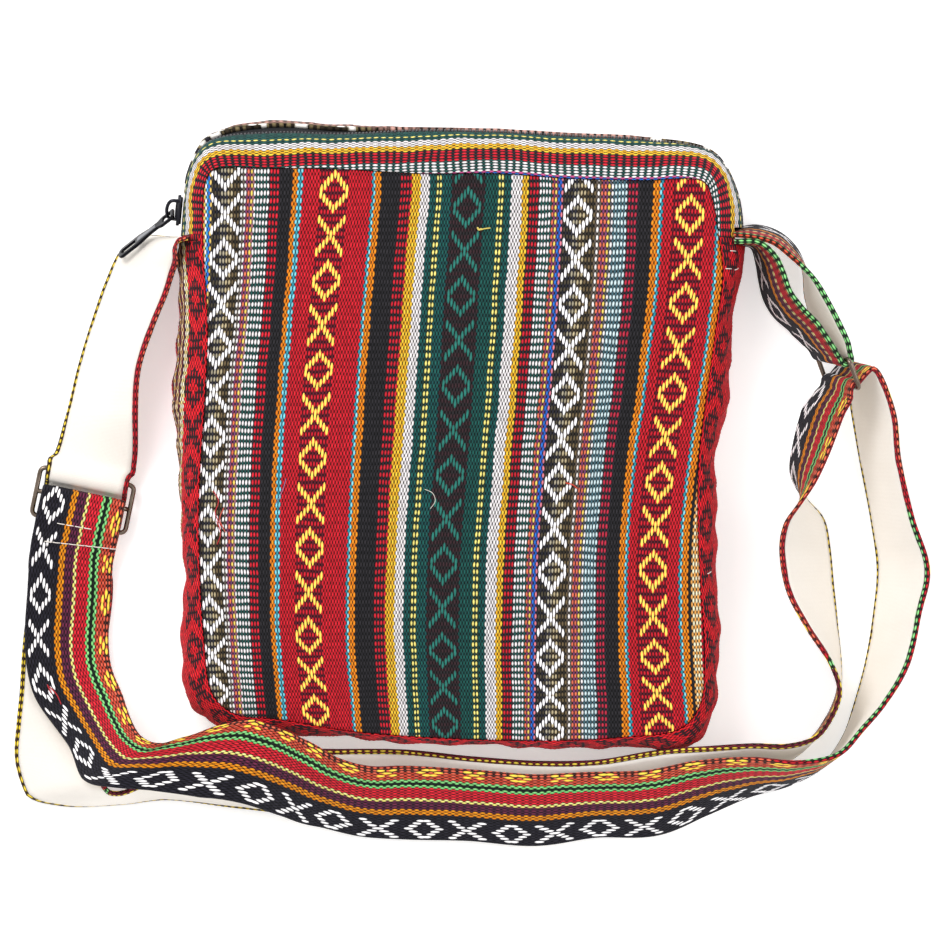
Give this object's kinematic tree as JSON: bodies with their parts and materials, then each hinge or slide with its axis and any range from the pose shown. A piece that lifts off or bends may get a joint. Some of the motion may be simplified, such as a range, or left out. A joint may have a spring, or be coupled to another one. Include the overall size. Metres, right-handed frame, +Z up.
{
  "type": "hemp crossbody bag",
  "caption": "Flat woven hemp shoulder bag with a curved top zip and a long striped strap on a ring and slider, lying on its back.",
  "frame": {"origin": "middle of the underside of the back panel, where the bag rests", "axes": "+X across the bag to its right side, +Y towards the zip, +Z up out of the front panel"},
  "size_m": [0.4129, 0.3279, 0.049],
  "materials": {
    "front_panel": "striped hemp weave",
    "back_panel": "striped hemp weave",
    "side_gusset": "red hemp weave",
    "zip_band_front": "striped hemp weave",
    "zip_band_back": "striped hemp weave",
    "zip_tape_front": "black zip tape",
    "zip_tape_back": "black zip tape",
    "zip_teeth": "black nylon coil",
    "zip_slider": "gloss black enamel",
    "zip_pull": "gloss black enamel",
    "strap_woven": "striped hemp weave",
    "strap_lining": "undyed cotton tape",
    "ring_tab_woven": "striped hemp weave",
    "ring_tab_lining": "undyed cotton tape",
    "strap_slider": "dull plated wire",
    "strap_ring": "dull plated wire"
  },
  "bodies": {
    "bag": {"front_panel": "front_panel", "back_panel": "back_panel", "side_gusset": "side_gusset", "zip_band_front": "zip_band_front", "zip_band_back": "zip_band_back", "zip_tape_front": "zip_tape_front", "zip_tape_back": "zip_tape_back", "zip_teeth": "zip_teeth", "zip_slider": "zip_slider", "strap_woven": "strap_woven", "strap_lining": "strap_lining", "ring_tab_woven": "ring_tab_woven", "ring_tab_lining": "ring_tab_lining", "strap_slider": "strap_slider", "strap_ring": "strap_ring"},
    "zip_pull": {"zip_pull": "zip_pull"}
  },
  "joints": [
    {"name": "zip_pull_swing", "type": "hinge", "parent": "bag", "child": "zip_pull", "pos_m": [-0.12766, 0.10737, 0.02147], "axis": [-0.0162, 0.5843, -0.8114], "range_deg": [0, 85]}
  ]
}
